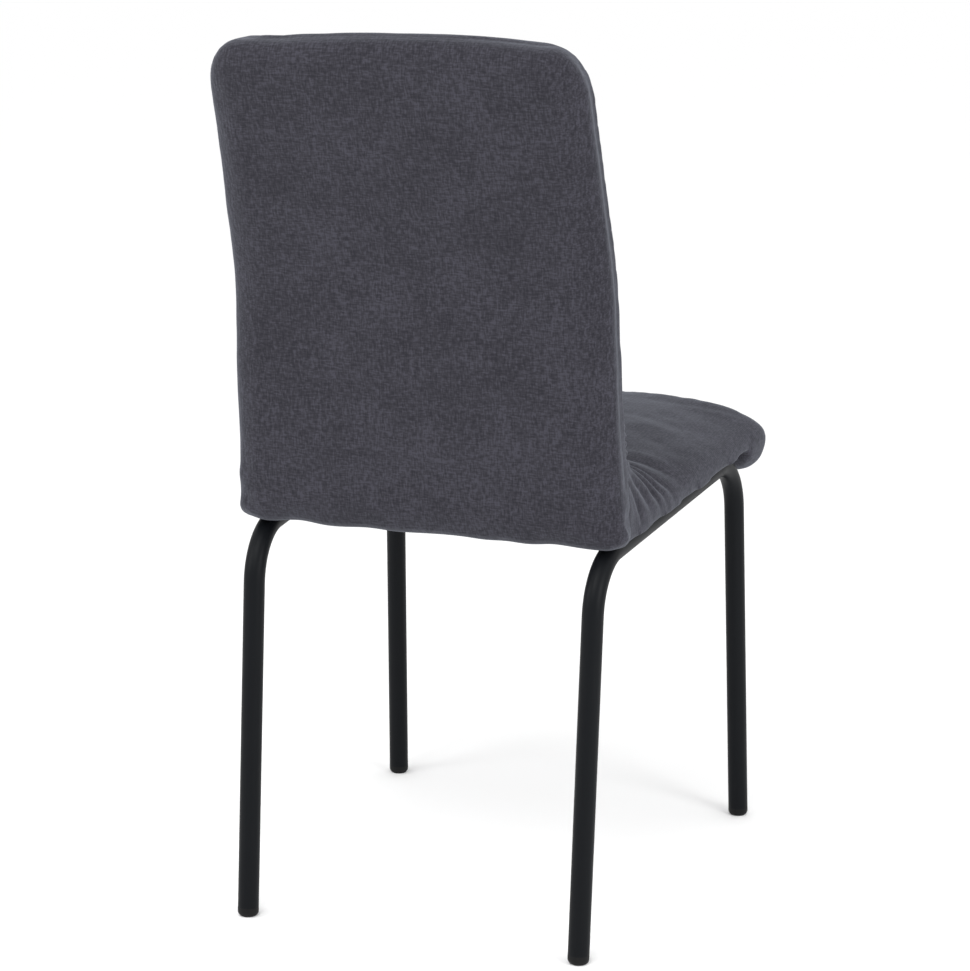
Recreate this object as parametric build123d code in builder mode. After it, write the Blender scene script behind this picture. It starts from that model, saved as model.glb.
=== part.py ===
"""Upholstered dining chair: two bent steel leg frames under a padded seat and a tall padded back.

Millimetres. +Z is up, the sitter faces -Y, and the origin lies on the floor under the middle of the chair.
"""

from build123d import *

import os
from math import cos, radians, sin, sqrt, tan

# ---------------------------------------------------------------- leg frames
tube_radius = 11.0
tube_wall = 1.5
bend_radius = 60.0
rear_foot = (182.0, 248.0)
rear_corner = (183.5, 211.0, 402.0)
front_corner = (203.5, -211.0, 427.0)
front_foot = (211.0, -234.0)

glide_height = 9.0
glide_plug_length = 18.0
glide_edge_radius = 6.0
glide_clearance = 0.05

bar_width = 32.0
bar_thickness = 4.0
bar_places = {"front_cross_bar": -161.0, "rear_cross_bar": 99.0}
bar_reach_over_rail = 6.0
bar_hole_spacing = 260.0
bar_hole_radius = 3.5

# ---------------------------------------------------------------- seat
cover_thickness = 2.0
seat_height = 43.0
seat_rear = 145.0
seat_half_width_rear = 206.0
seat_widening = 0.05
seat_crown_run = 100.0
seat_shoulder = 11.0
seat_bottom_radius = 5.0
nose_lower_radius = 22.0
crook_radius = 100.0
crook_angles = (30, 50, 65, 76)
nose_radius = 41.5
nose_place = -254.5
nose_corner_radius = 50.0
nose_angles = (12, 25, 40, 60, 90, 112, 132, 148, 160, 168, 174)

board_thickness = 10.0
board_inset = 14.0
board_rear = 180.0
board_front = -258.0
board_corner_radius = 30.0

batten_width = 24.0
batten_depth = 24.0
batten_length = 380.0
batten_rear = -230.0

opening_inset = 27.0
opening_rear = 166.0
opening_front = -201.0
lining_thickness = 1.0
lining_clearance = 0.5
lining_corner_radius = 10.0

# ---------------------------------------------------------------- back
back_bottom = 411.0
back_top = 915.0
back_rear_y_at_bottom = 210.3
back_lower_tilt = 5.5
back_upper_tilt = 15.5
back_bend_height = 655.0
back_bend_radius = 300.0
back_depth = 62.0
back_half_width_bottom = 204.0
back_half_width_top = 188.0
back_edge_radius = 20.0
back_corner_radius = 42.0
back_end_radius = 24.0
back_seam_depth = 50.0
back_heights = (480, 560, 620, 655, 672, 690, 706, 780, 840)

back_board_rear_depth = 10.0
back_board_front_depth = 20.0
back_board_half_width = 170.0
back_board_bottom = 432.0
back_board_top = 890.0
back_board_corner = 30.0

# ---------------------------------------------------------------- fasteners and brackets
bolt_radius = 3.0
bolt_length = 15.0
bolt_head_radius = 5.2
bolt_head_height = 3.2
bolt_socket_radius = 2.0
washer_radius = 8.0
washer_thickness = 1.5
nut_flange_radius = 9.5
nut_flange_thickness = 1.4
nut_barrel_radius = 4.0
nut_barrel_length = 8.5
fit_clearance = 0.05

bracket_width = 40.0
bracket_thickness = 4.0
bracket_x = 85.0
bracket_seat_start = 82.0
bracket_back_top = 590.0
bracket_seat_holes = (96.0, 136.0)
bracket_back_holes = (500.0, 570.0)
screw_radius = 2.2
screw_head_radius = 4.2
screw_head_height = 2.4
screw_length = 12.0
batten_screw_length = 26.0
batten_screw_spacing = 160.0

# ---------------------------------------------------------------- the seat's own directions
rail_run = rear_corner[1] - front_corner[1]
rail_rise = front_corner[2] - rear_corner[2]
seat_slope = rail_rise / rail_run
slope_length = sqrt(1 + seat_slope**2)
seat_up = Vector(0, seat_slope, 1) / slope_length
seat_rearward = Vector(0, 1, -seat_slope) / slope_length
# seat_origin lies on the plane that touches the tops of both side rails
seat_origin = Vector(0, 0, rear_corner[2] + rear_corner[1] * seat_slope + tube_radius * slope_length)

board_bottom = cover_thickness
board_top = board_bottom + board_thickness
nose_height = seat_height - nose_radius


def seat_point(across, rearward, up):
    """A point given in the seat's own directions."""
    return seat_origin + Vector(across, 0, 0) + seat_rearward * rearward + seat_up * up


def seat_plane(up=0.0):
    """A plane parallel to the seat: its x runs across and its y to the rear."""
    return Plane(origin=seat_point(0, 0, up), x_dir=(1, 0, 0), z_dir=seat_up)


def seat_section_plane(rearward):
    """An upright plane across the seat, facing the sitter's feet: its x runs across and its y up."""
    return Plane(origin=seat_point(0, rearward, 0), x_dir=(1, 0, 0), z_dir=-seat_rearward)


def finish(piece, label):
    """Labels a finished piece and writes it."""
    piece.part.label = label
    export_step(piece.part, f"parts/{label}.step")


# ---------------------------------------------------------------- leg frame pieces
def leg_corners(side):
    """The corners of one frame's centre line: rear foot, rear corner, front corner, front foot."""
    corners = []
    for foot, corner in ((rear_foot, rear_corner), (front_foot, front_corner)):
        share = glide_height / corner[2]
        low = Vector(
            side * (foot[0] + (corner[0] - foot[0]) * share),
            foot[1] + (corner[1] - foot[1]) * share,
            glide_height,
        )
        corners.append((low, Vector(side * corner[0], corner[1], corner[2])))
    (rear_end, rear_top), (front_end, front_top) = corners
    return [rear_end, rear_top, front_top, front_end]


def make_leg_frame(side):
    """One bent tube: rear leg, side rail and front leg."""
    with BuildPart() as frame:
        with BuildLine() as path:
            FilletPolyline(*leg_corners(side), radius=bend_radius)
        with BuildSketch(Plane(origin=path.line @ 0, z_dir=path.line % 0)):
            Circle(tube_radius)
            Circle(tube_radius - tube_wall, mode=Mode.SUBTRACT)
        sweep(path=path.line)
    return frame


def make_glide(tube_end, tube_corner):
    """A plastic foot pushed into a tube's end, with a rounded edge and a level sole."""
    axis_plane = Plane(origin=tube_end, x_dir=(1, 0, 0), z_dir=tube_corner - tube_end)
    with BuildPart() as glide:
        with BuildSketch(axis_plane):
            Circle(tube_radius)
        extrude(amount=-glide_height - 1)
        fillet(glide.edges().group_by(Axis.Z)[0], glide_edge_radius)
        split(bisect_by=Plane.XY, keep=Keep.TOP)
        with BuildSketch(axis_plane):
            Circle(tube_radius - tube_wall - glide_clearance)
        extrude(amount=glide_plug_length)
    return glide


def make_cross_bar(rearward):
    """A flat bar welded between the two side rails, with two holes for the seat bolts."""
    share = (rear_corner[1] - seat_point(0, rearward, 0).Y) / rail_run
    rail_x = rear_corner[0] + (front_corner[0] - rear_corner[0]) * share
    with BuildPart() as bar:
        with BuildSketch(seat_plane()):
            with Locations((0, rearward)):
                Rectangle(2 * (rail_x - bar_reach_over_rail), bar_width)
                with GridLocations(bar_hole_spacing, 1, 2, 1):
                    Circle(bar_hole_radius, mode=Mode.SUBTRACT)
        extrude(amount=-bar_thickness)
        for side in (-1, 1):
            rear_top, front_top = leg_corners(side)[1:3]
            with BuildSketch(Plane(origin=rear_top, z_dir=front_top - rear_top)):
                Circle(tube_radius)
            extrude(amount=(front_top - rear_top).length, mode=Mode.SUBTRACT)
    return bar


# ---------------------------------------------------------------- soft outlines
def seat_half_width(rearward):
    """Half the padded seat's width at a place along it, without its rounded front corners."""
    return seat_half_width_rear + (seat_rear - rearward) * seat_widening


def seat_section(rearward, inset):
    """Half width, bottom and top of the padded seat at a place along it, drawn in by an inset."""
    reach = nose_radius - inset
    from_nose = rearward - nose_place
    half_roll = sqrt(max(0.0, reach**2 - from_nose**2))
    under_roll = nose_height - half_roll
    corner = nose_corner_radius - inset
    into_corner = max(0.0, nose_place - nose_radius + nose_corner_radius - rearward)
    lost = corner - sqrt(max(0.0, corner**2 - into_corner**2))
    if from_nose < 0:
        return seat_half_width(rearward) - inset - lost, under_roll, nose_height + half_roll
    bottom = min(inset, under_roll) if from_nose < reach else inset
    # the seat turns up into the back along a hollow round
    into_crook = max(0.0, rearward - (seat_rear - crook_radius))
    rise = crook_radius - sqrt(max(0.0, crook_radius**2 - into_crook**2))
    return seat_half_width(rearward) - inset - lost, bottom, seat_height + rise - inset


def make_seat_outline(inset):
    """The padded seat drawn in by an inset: a domed pad with a rolled front and an upturned rear."""
    reach = nose_radius - inset
    crook_start = seat_rear - crook_radius
    places = [crook_start + crook_radius * sin(radians(angle)) - inset for angle in reversed(crook_angles)]
    places += [crook_start, nose_place + reach]
    places += [nose_place + reach * cos(radians(angle)) for angle in nose_angles]
    with BuildPart() as outline:
        for place in places:
            half_width, bottom, top = seat_section(place, inset)
            lower = nose_lower_radius if bottom < inset - 1 else seat_bottom_radius
            lower = min(lower - inset, 0.36 * (top - bottom), 0.8 * (seat_shoulder - bottom))
            shoulder = min(seat_shoulder, 0.5 * (bottom + top))
            crown_run = min(seat_crown_run, 0.9 * half_width)
            with BuildSketch(seat_section_plane(place)):
                with BuildLine():
                    for side in (1, -1):
                        edge_x = side * half_width
                        Line((0, bottom), (edge_x - side * lower, bottom))
                        RadiusArc((edge_x - side * lower, bottom), (edge_x, bottom + lower), -side * lower)
                        Line((edge_x, bottom + lower), (edge_x, shoulder))
                        EllipticalCenterArc(
                            (edge_x - side * crown_run, shoulder),
                            crown_run,
                            top - shoulder,
                            start_angle=0 if side > 0 else 90,
                            arc_size=90,
                        )
                        Line((edge_x - side * crown_run, top), (0, top))
                make_face()
        loft(ruled=True)
    return outline


def back_rear_y(height):
    """The back's rear surface: a straight lower part, a gentle bend and a straight upper part."""
    low, high = radians(back_lower_tilt), radians(back_upper_tilt)
    bend_start_y = back_rear_y_at_bottom + (back_bend_height - back_bottom) * tan(low)
    bend_rise = back_bend_radius * (sin(high) - sin(low))
    bend_run = back_bend_radius * (cos(low) - cos(high))
    climb = height - back_bend_height
    if climb <= 0:
        return bend_start_y + climb * tan(low)
    if climb <= bend_rise:
        sine = climb / back_bend_radius + sin(low)
        return bend_start_y + back_bend_radius * (cos(low) - sqrt(1 - sine**2))
    return bend_start_y + bend_run + (climb - bend_rise) * tan(high)


def rounding_loss(radius, distance):
    """How far a rounded end has drawn in at a distance from its tip."""
    short = max(0.0, radius - distance)
    return radius - sqrt(radius**2 - short**2)


def make_back_outline(inset):
    """The padded back drawn in by an inset: rounded at its ends, sides and upper corners."""
    bottom, top = back_bottom, back_top - inset
    share_of_end = (0.0, 0.06, 0.25, 0.6, 1.0)
    heights = [bottom + share * back_end_radius for share in share_of_end]
    heights += back_heights
    heights += [top - share * back_corner_radius for share in (1.0, 0.6, 0.33, 0.14, 0.04, 0.0)]
    with BuildPart() as outline:
        for height in heights:
            from_end = min(height - bottom, top - height)
            upper = height > back_bend_height
            corner = back_corner_radius - inset if upper else back_end_radius
            side_loss = rounding_loss(corner, from_end)
            face_loss = rounding_loss(back_end_radius - inset, from_end)
            share = (height - back_bottom) / (back_top - back_bottom)
            straight = back_half_width_bottom + (back_half_width_top - back_half_width_bottom) * share
            width = 2 * (straight - inset - side_loss)
            depth = back_depth - 2 * inset - 2 * face_loss
            edge_radius = min(back_edge_radius, 0.45 * depth)
            with BuildSketch(Plane.XY.offset(height)):
                with Locations((0, back_rear_y(height) - back_depth / 2)):
                    RectangleRounded(width, depth, edge_radius)
        loft(ruled=True)
        # the back's lower end stands on the plane of the rails
        with BuildSketch(seat_plane(inset)):
            Rectangle(1000, 1000)
        extrude(amount=-200, mode=Mode.SUBTRACT)
    return outline


def back_curve(depth, bottom, top):
    """Points on a surface at an even depth behind the back's rear surface, from the bottom up."""
    heights = [bottom, *(h for h in back_heights if bottom < h < top), top]
    return [(back_rear_y(h) - depth, h) for h in heights]


def make_back_front_half(depth, above):
    """Everything in front of a surface at an even depth inside the back, above a seat plane."""
    curve = back_curve(depth, back_bottom - 50, back_top + 50)
    front_y = 0.0
    with BuildPart() as half:
        with BuildSketch(Plane.YZ):
            with BuildLine():
                Polyline(*curve, (front_y, curve[-1][1]), (front_y, curve[0][1]), close=True)
            make_face()
        extrude(amount=300, both=True)
        with BuildSketch(seat_plane(above)):
            Rectangle(1000, 1000)
        extrude(amount=-200, mode=Mode.SUBTRACT)
    return half


# ---------------------------------------------------------------- boards, batten and lining
def seat_plan(inset, front, rear):
    """Corners of the seat's tapered plan, drawn in at its sides."""
    return [
        (-seat_half_width(front) + inset, front),
        (seat_half_width(front) - inset, front),
        (seat_half_width(rear) - inset, rear),
        (-seat_half_width(rear) + inset, rear),
    ]


def make_seat_plate(inset, front, rear, bottom, top, front_corner_radius):
    """A flat plate of the seat's plan between two levels."""
    with BuildPart() as plate:
        with BuildSketch(seat_plane(bottom)):
            with BuildLine():
                Polyline(*seat_plan(inset, front, rear), close=True)
            make_face()
        extrude(amount=top - bottom)
        upright = plate.edges().filter_by(lambda edge: abs(edge.tangent_at(0).dot(seat_up)) > 0.99)
        fillet(upright.sort_by(Axis.Y)[:2], front_corner_radius)
    return plate


def seat_bolt_places():
    """Where the four seat bolts stand, across and rearward."""
    return [
        (side * bar_hole_spacing / 2, rearward)
        for rearward in bar_places.values()
        for side in (-1, 1)
    ]


def bracket_screw_places():
    """Where the angle brackets' seat screws stand, across and rearward."""
    return [
        (side * bracket_x, rearward)
        for rearward in bracket_seat_holes
        for side in (-1, 1)
    ]


def back_screw_planes():
    """Planes on the brackets' front faces that point at the back board."""
    tilt = radians(back_lower_tilt)
    into_board = Vector(0, cos(tilt), -sin(tilt))
    planes = []
    for height in bracket_back_holes:
        face_y = back_rear_y(height) - back_board_front_depth - bracket_thickness / cos(tilt)
        for side in (-1, 1):
            place = (side * bracket_x, face_y, height)
            planes.append(Plane(origin=place, x_dir=(1, 0, 0), z_dir=into_board))
    return planes


def batten_screw_places():
    from_rear = batten_rear - batten_width / 2
    return [(across, from_rear) for across in (-batten_screw_spacing, 0, batten_screw_spacing)]


def bracket_corner(up, depth):
    """Where a level above the seat's plane meets a depth inside the back's straight lower part."""
    tilt = tan(radians(back_lower_tilt))
    start = seat_point(0, 0, up)
    gap = back_rear_y(start.Z) - depth - start.Y
    rearward = gap / (seat_rearward.Y - seat_rearward.Z * tilt)
    corner = seat_point(0, rearward, up)
    return corner.Y, corner.Z


def make_bracket(side):
    """A steel angle: one leg on the seat board, the other against the front of the back board."""
    tilt = radians(back_lower_tilt)
    back_face = back_board_front_depth
    inner_face = back_face + bracket_thickness / cos(tilt)
    seat_end_low = seat_point(0, bracket_seat_start, board_top)
    seat_end_high = seat_point(0, bracket_seat_start, board_top + bracket_thickness)
    outline = [
        (seat_end_low.Y, seat_end_low.Z),
        bracket_corner(board_top, back_face),
        (back_rear_y(bracket_back_top) - back_face, bracket_back_top),
        (back_rear_y(bracket_back_top) - inner_face, bracket_back_top),
        bracket_corner(board_top + bracket_thickness, inner_face),
        (seat_end_high.Y, seat_end_high.Z),
    ]
    with BuildPart() as bracket:
        with BuildSketch(Plane.YZ.offset(side * bracket_x)):
            with BuildLine():
                Polyline(*outline, close=True)
            make_face()
        extrude(amount=bracket_width / 2, both=True)
        across_edges = bracket.edges().filter_by(Axis.X)
        outer, inner = Vector(0, *outline[1]), Vector(0, *outline[4])
        fillet(across_edges.sort_by_distance(inner + Vector(side * bracket_x, 0, 0))[0], 3)
        across_edges = bracket.edges().filter_by(Axis.X)
        fillet(across_edges.sort_by_distance(outer + Vector(side * bracket_x, 0, 0))[0], 7)
        with BuildSketch(seat_plane(board_top)):
            with Locations(*[place for place in bracket_screw_places() if place[0] * side > 0]):
                Circle(screw_radius)
        extrude(amount=bracket_thickness, mode=Mode.SUBTRACT)
        for plane in back_screw_planes():
            if plane.origin.X * side > 0:
                with BuildSketch(plane):
                    Circle(screw_radius)
                extrude(amount=bracket_thickness, mode=Mode.SUBTRACT)
    return bracket


def make_back_board():
    """Bent plywood that follows the back's curve, with rounded corners and screw holes."""
    rear = back_curve(back_board_rear_depth, back_board_bottom, back_board_top)
    front = back_curve(back_board_front_depth, back_board_bottom, back_board_top)
    with BuildPart() as board:
        with BuildSketch(Plane.YZ):
            with BuildLine():
                Polyline(*rear, *reversed(front), close=True)
            make_face()
        extrude(amount=back_board_half_width, both=True)
        corners = board.edges().filter_by(lambda edge: edge.length < 1.5 * back_board_rear_depth)
        fillet(corners, back_board_corner)
        for plane in back_screw_planes():
            with BuildSketch(plane.offset(bracket_thickness)):
                Circle(screw_radius)
            extrude(amount=screw_length - bracket_thickness, mode=Mode.SUBTRACT)
    return board


# ---------------------------------------------------------------- fasteners
def make_seat_bolts():
    """Four button-head bolts that come up through the cross bars and into the tee nuts."""
    seat_level = -bar_thickness - washer_thickness
    with BuildPart() as bolts:
        with BuildSketch(seat_plane(seat_level)):
            with Locations(*seat_bolt_places()):
                Circle(bolt_head_radius)
        extrude(amount=-bolt_head_height)
        with BuildSketch(seat_plane(seat_level - bolt_head_height)):
            with Locations(*seat_bolt_places()):
                RegularPolygon(bolt_socket_radius, 6)
        extrude(amount=bolt_head_height * 0.6, mode=Mode.SUBTRACT)
        with BuildSketch(seat_plane(seat_level)):
            with Locations(*seat_bolt_places()):
                Circle(bolt_radius)
        extrude(amount=bolt_length)
    return bolts


def make_seat_washers():
    with BuildPart() as washers:
        with BuildSketch(seat_plane(-bar_thickness)):
            with Locations(*seat_bolt_places()):
                Circle(washer_radius)
                Circle(bolt_radius + fit_clearance, mode=Mode.SUBTRACT)
        extrude(amount=-washer_thickness)
    return washers


def make_tee_nuts():
    """Four flanged nuts let into the seat board from above."""
    with BuildPart() as nuts:
        with BuildSketch(seat_plane(board_top)):
            with Locations(*seat_bolt_places()):
                Circle(nut_flange_radius)
        extrude(amount=nut_flange_thickness)
        with BuildSketch(seat_plane(board_top)):
            with Locations(*seat_bolt_places()):
                Circle(nut_barrel_radius)
        extrude(amount=-nut_barrel_length)
        with BuildSketch(seat_plane(board_top + nut_flange_thickness)):
            with Locations(*seat_bolt_places()):
                Circle(bolt_radius + fit_clearance)
        extrude(amount=-nut_flange_thickness - nut_barrel_length, mode=Mode.SUBTRACT)
    return nuts


def make_bracket_screws():
    """Pan-head wood screws: four into the seat board and four into the back board."""
    head_seat = board_top + bracket_thickness
    heads = [seat_point(across, rearward, head_seat) for across, rearward in bracket_screw_places()]
    planes = [Plane(origin=head, x_dir=(1, 0, 0), z_dir=-seat_up) for head in heads]
    with BuildPart() as screws:
        for plane in planes + back_screw_planes():
            with BuildSketch(plane):
                Circle(screw_head_radius)
            extrude(amount=-screw_head_height)
            with BuildSketch(plane):
                Circle(screw_radius)
            extrude(amount=screw_length)
    return screws


def make_batten_screws():
    """Countersunk wood screws down through the seat board into the batten."""
    with BuildPart() as screws:
        with BuildSketch(seat_plane(board_top)):
            with Locations(*batten_screw_places()):
                Circle(screw_head_radius)
        extrude(amount=-screw_head_height, taper=42)
        with BuildSketch(seat_plane(board_top - screw_head_height / 2)):
            with Locations(*batten_screw_places()):
                Circle(screw_radius)
        extrude(amount=-batten_screw_length + screw_head_height / 2)
    return screws


def make_seat_board(block, screws):
    """Plywood with holes for the tee nuts and for the screws."""
    with BuildPart() as board:
        add(block.part)
        with BuildSketch(seat_plane(board_top)):
            with Locations(*seat_bolt_places()):
                Circle(nut_barrel_radius + fit_clearance)
            with Locations(*bracket_screw_places()):
                Circle(screw_radius)
        extrude(amount=-board_thickness, mode=Mode.SUBTRACT)
        add(screws.part, mode=Mode.SUBTRACT)
    return board


def make_dust_cover():
    """A thin lining over the underside's opening, holed for the seat bolts."""
    lining = make_seat_plate(
        opening_inset + lining_clearance,
        opening_front + lining_clearance,
        opening_rear - lining_clearance,
        board_bottom - lining_thickness,
        board_bottom,
        lining_corner_radius,
    )
    with BuildPart() as dust_cover:
        add(lining.part)
        with BuildSketch(seat_plane(board_bottom)):
            with Locations(*seat_bolt_places()):
                Circle(bar_hole_radius)
        extrude(amount=-lining_thickness, mode=Mode.SUBTRACT)
    return dust_cover


def make_batten(screws):
    with BuildPart() as batten:
        with BuildSketch(seat_plane(board_bottom)):
            with Locations((0, batten_rear - batten_width / 2)):
                Rectangle(batten_length, batten_width)
        extrude(amount=-batten_depth)
        add(screws.part, mode=Mode.SUBTRACT)
    return batten


def cut_from(start, *tools):
    """A new piece: a solid with others taken away."""
    with BuildPart() as piece:
        add(start)
        for tool in tools:
            add(tool, mode=Mode.SUBTRACT)
    return piece


def common_part(start, limit, *tools):
    """A new piece: what two solids share, with others taken away."""
    with BuildPart() as piece:
        add(start)
        add(limit, mode=Mode.INTERSECT)
        for tool in tools:
            add(tool, mode=Mode.SUBTRACT)
    return piece


# ---------------------------------------------------------------- build
os.makedirs("parts", exist_ok=True)

for side_name, side in (("left", 1), ("right", -1)):
    finish(make_leg_frame(side), f"{side_name}_leg_frame")
    rear_end, rear_top, front_top, front_end = leg_corners(side)
    finish(make_glide(rear_end, rear_top), f"rear_{side_name}_glide")
    finish(make_glide(front_end, front_top), f"front_{side_name}_glide")

for bar_name, bar_place in bar_places.items():
    finish(make_cross_bar(bar_place), bar_name)

seat_bolts = make_seat_bolts()
seat_washers = make_seat_washers()
seat_tee_nuts = make_tee_nuts()
bracket_screws = make_bracket_screws()
batten_screws = make_batten_screws()
seat_block = make_seat_plate(
    board_inset, board_front, board_rear, board_bottom, board_top, board_corner_radius
)
seat_board = make_seat_board(seat_block, batten_screws)
dust_cover = make_dust_cover()
front_batten = make_batten(batten_screws)
back_board = make_back_board()
left_bracket = make_bracket(1)
right_bracket = make_bracket(-1)

seat_outer = make_seat_outline(0.0)
seat_inner = make_seat_outline(cover_thickness)
back_outer = make_back_outline(0.0)
back_inner = make_back_outline(cover_thickness)
opening = make_seat_plate(opening_inset, opening_front, opening_rear, -1, board_bottom, lining_corner_radius)

hardware = [left_bracket.part, right_bracket.part, bracket_screws.part]
under_foam = [front_batten.part, batten_screws.part, seat_tee_nuts.part, seat_bolts.part]
seat_foam = cut_from(seat_inner.part, seat_block.part, *under_foam, *hardware)
seat_cover = cut_from(seat_outer.part, seat_inner.part, seat_block.part, opening.part, *hardware)

back_shell = cut_from(back_outer.part, back_inner.part, seat_block.part, opening.part, *hardware)
front_of_seam = make_back_front_half(back_seam_depth, board_top)
front_of_board = make_back_front_half(back_board_front_depth, 0)
back_front_cover = common_part(back_shell.part, front_of_seam.part)
back_rear_cover = cut_from(back_shell.part, front_of_seam.part)
back_foam = common_part(back_inner.part, front_of_board.part, seat_block.part, *hardware)
behind_board = cut_from(back_inner.part, front_of_board.part)
back_wadding = cut_from(behind_board.part, seat_block.part, back_board.part, bracket_screws.part)

pieces = {
    "seat_bolts": seat_bolts,
    "seat_washers": seat_washers,
    "seat_tee_nuts": seat_tee_nuts,
    "bracket_screws": bracket_screws,
    "batten_screws": batten_screws,
    "seat_board": seat_board,
    "front_batten": front_batten,
    "back_board": back_board,
    "left_bracket": left_bracket,
    "right_bracket": right_bracket,
    "dust_cover": dust_cover,
    "seat_foam": seat_foam,
    "seat_cover": seat_cover,
    "back_front_cover": back_front_cover,
    "back_rear_cover": back_rear_cover,
    "back_foam": back_foam,
    "back_wadding": back_wadding,
}
for piece_name, piece in pieces.items():
    finish(piece, piece_name)
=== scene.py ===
import math

import bmesh
import bpy
import numpy as np
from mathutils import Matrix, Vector, noise


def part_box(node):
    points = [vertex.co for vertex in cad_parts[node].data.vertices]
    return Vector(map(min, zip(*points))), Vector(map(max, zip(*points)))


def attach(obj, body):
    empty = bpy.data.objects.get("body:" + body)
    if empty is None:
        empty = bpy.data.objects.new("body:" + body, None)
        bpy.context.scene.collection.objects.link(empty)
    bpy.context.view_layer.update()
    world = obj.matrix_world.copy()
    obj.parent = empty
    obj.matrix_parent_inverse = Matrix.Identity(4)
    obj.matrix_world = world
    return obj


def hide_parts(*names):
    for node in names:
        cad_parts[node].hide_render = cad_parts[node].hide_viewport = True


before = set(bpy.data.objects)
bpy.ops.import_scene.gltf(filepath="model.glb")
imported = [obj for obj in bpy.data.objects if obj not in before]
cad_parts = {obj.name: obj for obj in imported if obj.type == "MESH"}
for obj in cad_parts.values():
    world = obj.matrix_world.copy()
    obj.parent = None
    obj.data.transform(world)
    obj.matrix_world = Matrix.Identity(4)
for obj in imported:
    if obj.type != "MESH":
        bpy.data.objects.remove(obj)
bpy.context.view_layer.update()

mm = 0.001
weldDistance = 0.05 * mm
noiseStride = (7.3, 3.1, 5.7)  # keeps one seed's noise clear of the next
noiseGain = 1.6  # the noise itself seldom passes 0.6


def toLinear(hexColour):
    channels = [int(hexColour[i : i + 2], 16) / 255 for i in (1, 3, 5)]
    return tuple(c / 12.92 if c < 0.04045 else ((c + 0.055) / 1.055) ** 2.4 for c in channels) + (1.0,)


def eased(low, high, value):  # 0 below low, 1 above high
    share = np.clip((np.asarray(value, dtype=float) - low) / (high - low), 0, 1)
    return share * share * (3 - 2 * share)


def between(a, b, share):
    return a + (b - a) * share


def meshObject(name, verts, faces):
    mesh = bpy.data.meshes.new(name)
    mesh.from_pydata([tuple(v) for v in verts], [], faces)
    piece = bpy.data.objects.new(name, mesh)
    bpy.context.scene.collection.objects.link(piece)
    return piece


def loftRings(name, rings):  # a closed skin over rings of equal length
    count = len(rings[0])
    verts = [point for ring in rings for point in ring]
    faces = []
    for k in range(len(rings) - 1):
        for i in range(count):
            j = (i + 1) % count
            faces.append((k * count + i, k * count + j, (k + 1) * count + j, (k + 1) * count + i))
    last = (len(rings) - 1) * count
    for ring, start, order in ((rings[0], 0, 1), (rings[-1], last, -1)):
        verts.append(sum((Vector(point) for point in ring), Vector()) / count)
        for i in range(count):
            faces.append((start + (i + 1) % count, start + i, len(verts) - 1)[::order])
    piece = meshObject(name, verts, faces)
    work = bmesh.new()
    work.from_mesh(piece.data)
    bmesh.ops.remove_doubles(work, verts=work.verts, dist=weldDistance)
    bmesh.ops.recalc_face_normals(work, faces=work.faces)
    work.to_mesh(piece.data)
    work.free()
    return piece


def applyModifiers(piece):
    graph = bpy.context.evaluated_depsgraph_get()
    solved = bpy.data.meshes.new_from_object(piece.evaluated_get(graph), depsgraph=graph)
    piece.modifiers.clear()
    old = piece.data
    piece.data = solved
    bpy.data.meshes.remove(old)


def vertexPlaces(mesh):
    flat = np.zeros(len(mesh.vertices) * 3)
    mesh.vertices.foreach_get("co", flat)
    return flat.reshape(-1, 3)


def vertexNormals(mesh):
    flat = np.zeros(len(mesh.vertices) * 3)
    mesh.vertices.foreach_get("normal", flat)
    return flat.reshape(-1, 3)


def movePlaces(piece, places):
    piece.data.vertices.foreach_set("co", np.asarray(places).ravel())
    piece.data.update()


def lumps(places, size, seed):  # smooth noise about -1 to 1, one value a point
    offset = Vector([seed * stride for stride in noiseStride])
    return np.array([noise.noise(Vector(p) / size + offset) for p in places]) * noiseGain


# the seat leans back a little, so it has directions of its own: across, rearward and up,
# measured from a point level with the rails' tops

seatPad = {
    "tilt": 3.39,  # degrees
    "boardBottom": 2 * mm,
    "boardTop": 12 * mm,
    "halfWidth": 206 * mm,
    "halfWidthPlace": 145 * mm,
    "widening": 0.05,  # towards the front
    "rear": 151 * mm,
    "height": 46 * mm,
    "seamRear": 166 * mm,  # where it meets the rear cover
    "seamInside": 1 * mm,
    "seamEaseStart": 110 * mm,
    "crookRadius": 118 * mm,  # the hollow where the seat turns up into the back
    "crookTurn": 80,  # degrees
    "crookRise": 88 * mm,
    "crookBlend": 0.8,
    "noseDroop": 6 * mm,
    "droopStart": -90 * mm,
    "noseRadius": 41 * mm,
    "noseBottom": -42 * mm,
    "nosePlace": -254.5 * mm,
    "noseCorner": 38 * mm,
    # how square and how soft the section is: at the rear seam, along the seat, at the nose, underneath
    "fullness": {"seam": (44.0, 0.42), "seat": (6.5, 0.6), "nose": (4.0, 0.62), "under": (16.0, 0.42)},
    "acrossSteps": 64,
    "underSteps": 32,
    "seamRings": 10,
    "crookRings": 20,
    "seatRings": 22,
    "noseBlendRings": 16,
    "rollRings": 32,
    "voxel": 5 * mm,
    "swell": 4 * mm,
    "heldUp": (12 * mm, 26 * mm),
    "heldRearward": (148 * mm, 158 * mm),
}

tilt = math.radians(seatPad["tilt"])
seatUp = Vector((0, math.sin(tilt), math.cos(tilt)))
seatRearward = Vector((0, math.cos(tilt), -math.sin(tilt)))
boardLow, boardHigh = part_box("seat_board")
boardFront = (boardLow.y - seatPad["boardBottom"] * seatUp.y) / seatUp.z
originHeight = boardHigh.z + boardFront * seatUp.y - seatPad["boardTop"] * seatUp.z
seatOrigin = Vector((0, 0, originHeight))


def seatPoint(across, rearward, up):
    return seatOrigin + Vector((across, 0, 0)) + seatRearward * rearward + seatUp * up


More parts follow.
